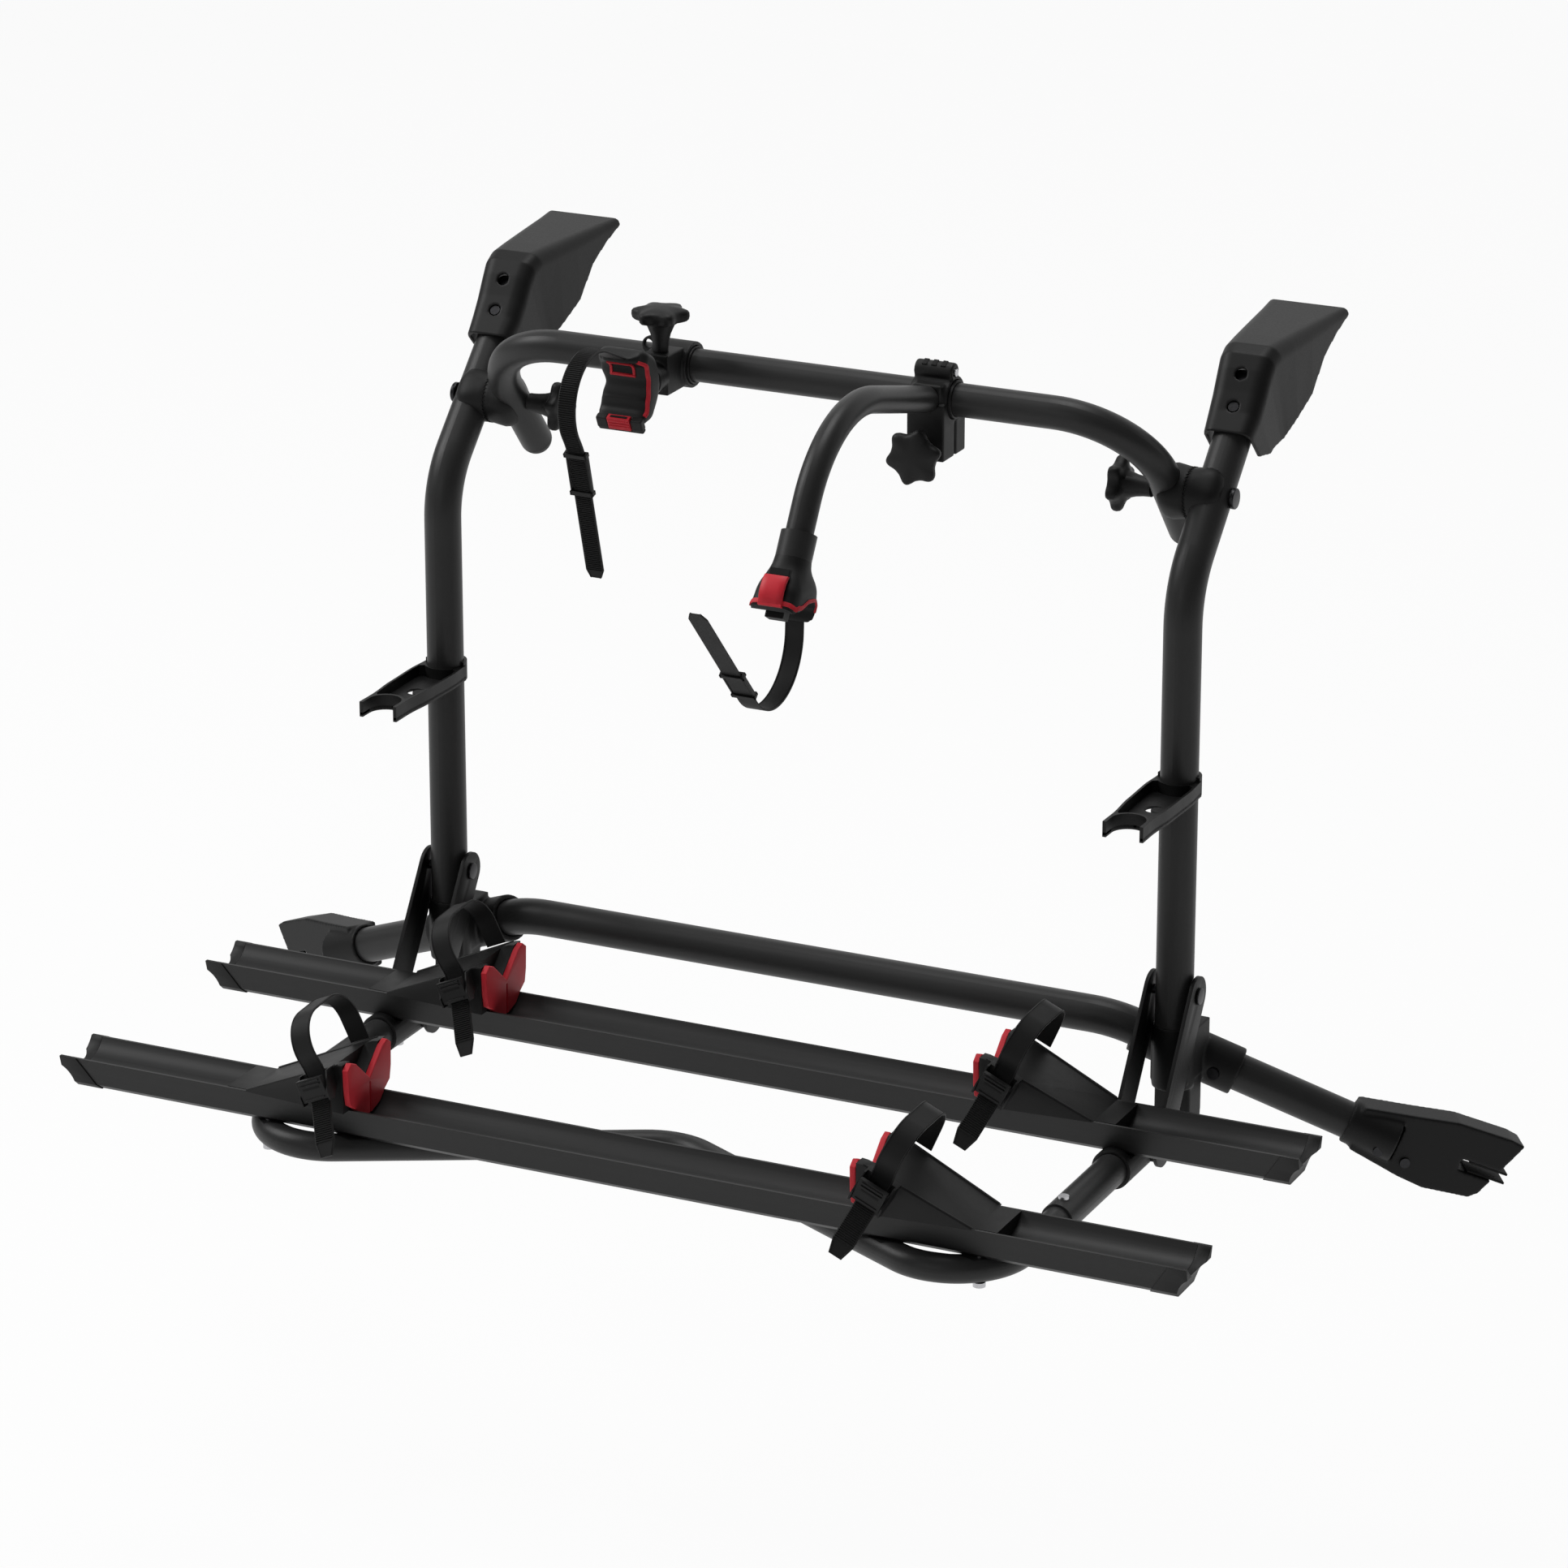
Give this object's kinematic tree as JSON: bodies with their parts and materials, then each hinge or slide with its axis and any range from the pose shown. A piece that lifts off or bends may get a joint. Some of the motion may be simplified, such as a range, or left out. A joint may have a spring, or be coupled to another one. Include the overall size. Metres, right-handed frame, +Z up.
{
  "type": "rear door bike carrier",
  "caption": "Tube frame that hooks over a van's rear door and carries bicycles on a folding platform with channel rails, wheel chocks with straps, and two arms that hold bicycle frames.",
  "frame": {"origin": "midway between the two top hooks' seats, where they rest on the top edge of the van's rear door", "axes": "+X across the van to the right as seen from behind it, +Y forwards into the van, +Z up"},
  "size_m": [1.5164, 0.9011, 0.9237],
  "materials": {
    "coated_tube": "satin anthracite powder coat",
    "coated_plate": "satin anthracite powder coat on folded plate",
    "casting": "satin anthracite powder coat on a casting",
    "rail": "satin anthracite powder coat on an extrusion",
    "moulding": "fine-grained injection moulding",
    "liner": "matt",
    "bolt": "zinc plated",
    "dark_screw": "blackened steel",
    "strap": "matt moulded strap",
    "red_soft": "matt soft moulding",
    "red_lever": "fine-grained injection moulding"
  },
  "bodies": {
    "frame": {"upright_left": "coated_tube", "upright_right": "coated_tube", "lower_bar": "coated_tube", "top_hook_left": "coated_plate", "top_hook_right": "coated_plate", "lower_bracket_left": "casting", "lower_bracket_right": "casting", "lower_hook_left": "casting", "lower_hook_right": "casting", "lower_jaws": "liner", "frame_screws": "dark_screw", "clamp_outer_halves": "casting", "clamp_bolts": "dark_screw", "tube_rests": "moulding", "pivot_bolts": "dark_screw"},
    "top_frame": {"top_bar": "coated_tube", "top_bar_plugs": "moulding", "clamp_inner_halves": "casting"},
    "clamp_knob_left": {"clamp_knob_left": "moulding"},
    "clamp_knob_right": {"clamp_knob_right": "moulding"},
    "platform": {"strut_left": "coated_plate", "strut_right": "coated_plate", "platform_arms": "coated_tube", "front_loop": "coated_tube", "rail_outer": "rail", "rail_inner": "rail", "rail_caps": "moulding", "platform_screws": "bolt"},
    "short_bush": {"short_bush": "moulding"},
    "short_clamp": {"short_clamp": "moulding"},
    "short_knob": {"short_knob": "moulding"},
    "short_head": {"short_head": "moulding", "short_head_trim": "red_soft", "short_strap": "strap"},
    "short_buckle": {"short_buckle": "red_lever"},
    "long_bush": {"long_bush": "moulding"},
    "long_clamp": {"long_clamp": "moulding", "long_clamp_pin": "bolt", "long_arm": "coated_tube"},
    "long_knob": {"long_knob": "moulding"},
    "long_head": {"long_head": "moulding", "long_head_trim": "red_soft", "long_strap": "strap"},
    "long_lever": {"long_lever": "red_lever"},
    "chock_outer_right": {"chock_outer_right": "moulding", "chock_face_outer_right": "red_soft", "wheel_strap_outer_right": "strap"},
    "wheel_buckle_outer_right": {"wheel_buckle_outer_right": "moulding"},
    "chock_outer_left": {"chock_outer_left": "moulding", "chock_face_outer_left": "red_soft", "wheel_strap_outer_left": "strap"},
    "wheel_buckle_outer_left": {"wheel_buckle_outer_left": "moulding"},
    "chock_inner_right": {"chock_inner_right": "moulding", "chock_face_inner_right": "red_soft", "wheel_strap_inner_right": "strap"},
    "wheel_buckle_inner_right": {"wheel_buckle_inner_right": "moulding"},
    "chock_inner_left": {"chock_inner_left": "moulding", "chock_face_inner_left": "red_soft", "wheel_strap_inner_left": "strap"},
    "wheel_buckle_inner_left": {"wheel_buckle_inner_left": "moulding"}
  },
  "joints": [
    {"name": "top_bar_tilt", "type": "hinge", "parent": "frame", "child": "top_frame", "pos_m": [0, -0.22767, -0.13558], "axis": [-1, 0, 0], "range_deg": [-40, 30]},
    {"name": "clamp_knob_right_turn", "type": "hinge", "parent": "frame", "child": "clamp_knob_right", "pos_m": [0.33, -0.22767, -0.13558], "axis": [1, 0, 0], "continuous": true},
    {"name": "clamp_knob_left_turn", "type": "hinge", "parent": "frame", "child": "clamp_knob_left", "pos_m": [-0.33, -0.22767, -0.13558], "axis": [-1, 0, 0], "continuous": true},
    {"name": "platform_fold", "type": "hinge", "parent": "frame", "child": "platform", "pos_m": [0, -0.305, -0.655], "axis": [-1, 0, 0], "range_deg": [0, 90]},
    {"name": "short_holder_slide", "type": "slide", "parent": "top_frame", "child": "short_bush", "axis": [1, 0, 0], "range_m": [-0.105, 0.21]},
    {"name": "short_holder_tilt", "type": "hinge", "parent": "short_bush", "child": "short_clamp", "pos_m": [-0.144, -0.305, -0.0444], "axis": [-1, 0, 0], "range_deg": [-60, 90]},
    {"name": "short_knob_turn", "type": "hinge", "parent": "short_clamp", "child": "short_knob", "pos_m": [-0.144, -0.347, 0], "axis": [0, 0, 1], "continuous": true},
    {"name": "short_head_swivel", "type": "hinge", "parent": "short_clamp", "child": "short_head", "pos_m": [-0.144, -0.373, -0.0444], "axis": [0, -1, 0], "continuous": true},
    {"name": "short_buckle_open", "type": "hinge", "parent": "short_head", "child": "short_buckle", "pos_m": [-0.144, -0.43947, -0.07781], "axis": [1, 0, 0], "range_deg": [0, 50], "stiffness_Nm_per_rad": 0.05},
    {"name": "long_holder_slide", "type": "slide", "parent": "top_frame", "child": "long_bush", "axis": [1, 0, 0], "range_m": [-0.21, 0.1]},
    {"name": "long_holder_tilt", "type": "hinge", "parent": "long_bush", "child": "long_clamp", "pos_m": [0.152, -0.305, -0.0444], "axis": [-1, 0, 0], "range_deg": [-60, 90]},
    {"name": "long_knob_turn", "type": "hinge", "parent": "long_clamp", "child": "long_knob", "pos_m": [0.152, -0.349, -0.0934], "axis": [0, -1, 0], "continuous": true},
    {"name": "long_head_swivel", "type": "hinge", "parent": "long_clamp", "child": "long_head", "pos_m": [0.152, -0.63614, -0.09896], "axis": [0, -0.515, -0.8572], "continuous": true},
    {"name": "long_lever_open", "type": "hinge", "parent": "long_head", "child": "long_lever", "pos_m": [0.152, -0.68961, -0.12504], "axis": [-1, 0, 0], "range_deg": [0, 60], "stiffness_Nm_per_rad": 0.05},
    {"name": "chock_outer_right_slide", "type": "slide", "parent": "platform", "child": "chock_outer_right", "axis": [1, 0, 0], "range_m": [-0.25, 0.04]},
    {"name": "wheel_buckle_outer_right_open", "type": "hinge", "parent": "chock_outer_right", "child": "wheel_buckle_outer_right", "pos_m": [0.30212, -0.7964, -0.72375], "axis": [0.9129, 0, -0.4082], "range_deg": [0, 60], "stiffness_Nm_per_rad": 0.05},
    {"name": "chock_outer_left_slide", "type": "slide", "parent": "platform", "child": "chock_outer_left", "axis": [1, 0, 0], "range_m": [-0.04, 0.25]},
    {"name": "wheel_buckle_outer_left_open", "type": "hinge", "parent": "chock_outer_left", "child": "wheel_buckle_outer_left", "pos_m": [-0.31992, -0.7964, -0.72375], "axis": [0.9129, 0, 0.4082], "range_deg": [0, 60], "stiffness_Nm_per_rad": 0.05},
    {"name": "chock_inner_right_slide", "type": "slide", "parent": "platform", "child": "chock_inner_right", "axis": [1, 0, 0], "range_m": [-0.25, 0.04]},
    {"name": "wheel_buckle_inner_right_open", "type": "hinge", "parent": "chock_inner_right", "child": "wheel_buckle_inner_right", "pos_m": [0.30212, -0.494, -0.72375], "axis": [0.9129, 0, -0.4082], "range_deg": [0, 60], "stiffness_Nm_per_rad": 0.05},
    {"name": "chock_inner_left_slide", "type": "slide", "parent": "platform", "child": "chock_inner_left", "axis": [1, 0, 0], "range_m": [-0.04, 0.25]},
    {"name": "wheel_buckle_inner_left_open", "type": "hinge", "parent": "chock_inner_left", "child": "wheel_buckle_inner_left", "pos_m": [-0.31992, -0.494, -0.72375], "axis": [0.9129, 0, 0.4082], "range_deg": [0, 60], "stiffness_Nm_per_rad": 0.05}
  ]
}
